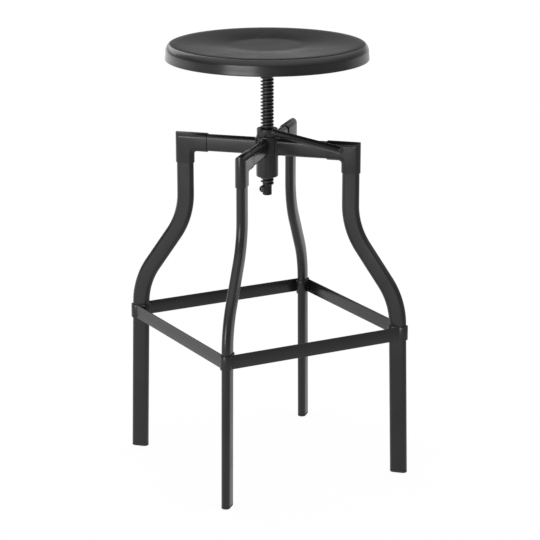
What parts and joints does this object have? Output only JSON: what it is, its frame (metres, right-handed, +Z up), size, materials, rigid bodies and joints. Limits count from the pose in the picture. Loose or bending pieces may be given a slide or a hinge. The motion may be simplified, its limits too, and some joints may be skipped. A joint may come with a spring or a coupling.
{
  "type": "bar stool",
  "caption": "Metal bar stool with a round dished seat on a lifting screw, a lock nut with a lever, S-bent flat-oval legs and a square flat-bar footrest.",
  "frame": {"origin": "on the floor under the screw's axis", "axes": "+Z up along the screw; the footrest bars run along X and Y, the legs stand on the diagonals, -Y is the front"},
  "size_m": [0.3644, 0.3644, 0.7465],
  "materials": {
    "seat_coat": "semi-matt black powder coat",
    "frame_coat": "semi-matt black powder coat",
    "lock_coat": "semi-matt black powder coat",
    "screw_steel": "black oxide, lightly oiled",
    "bolt_steel": "black oxide",
    "washer_plastic": "matt black nylon",
    "foot_plastic": "matt black moulded plastic"
  },
  "bodies": {
    "frame": {"hub": "frame_coat", "arm_back_right": "frame_coat", "arm_back_left": "frame_coat", "arm_front_left": "frame_coat", "arm_front_right": "frame_coat", "elbow_back_right": "frame_coat", "elbow_back_left": "frame_coat", "elbow_front_left": "frame_coat", "elbow_front_right": "frame_coat", "leg_back_right": "frame_coat", "leg_back_left": "frame_coat", "leg_front_left": "frame_coat", "leg_front_right": "frame_coat", "foot_back_right": "foot_plastic", "foot_back_left": "foot_plastic", "foot_front_left": "foot_plastic", "foot_front_right": "foot_plastic", "leg_clip_back_right": "frame_coat", "leg_clip_back_left": "frame_coat", "leg_clip_front_left": "frame_coat", "leg_clip_front_right": "frame_coat", "footrest_bar_right": "frame_coat", "footrest_bar_back": "frame_coat", "footrest_bar_left": "frame_coat", "footrest_bar_front": "frame_coat"},
    "column_washer": {"bump_washer": "washer_plastic"},
    "seat": {"seat_pan": "seat_coat", "seat_plate": "seat_coat", "lift_screw": "screw_steel", "stop_bolt": "bolt_steel"},
    "lock": {"lock_nut": "lock_coat", "lock_lever": "lock_coat"}
  },
  "joints": [
    {"name": "seat_lift", "type": "slide", "parent": "frame", "child": "column_washer", "axis": [0, 0, 1], "range_m": [-0.13351, 0.01501]},
    {"name": "seat_turn", "type": "hinge", "parent": "column_washer", "child": "seat", "pos_m": [0, 0, 0.7], "axis": [0, 0, 1], "range_deg": [-8010, 900]},
    {"name": "lock_turn", "type": "hinge", "parent": "frame", "child": "lock", "pos_m": [0, 0, 0.593], "axis": [0, 0, 1], "range_deg": [-30, 12]}
  ],
  "couplings": [
    {"joint": "seat_lift", "follows": "seat_turn", "m_per_rad": 0.00095493}
  ]
}
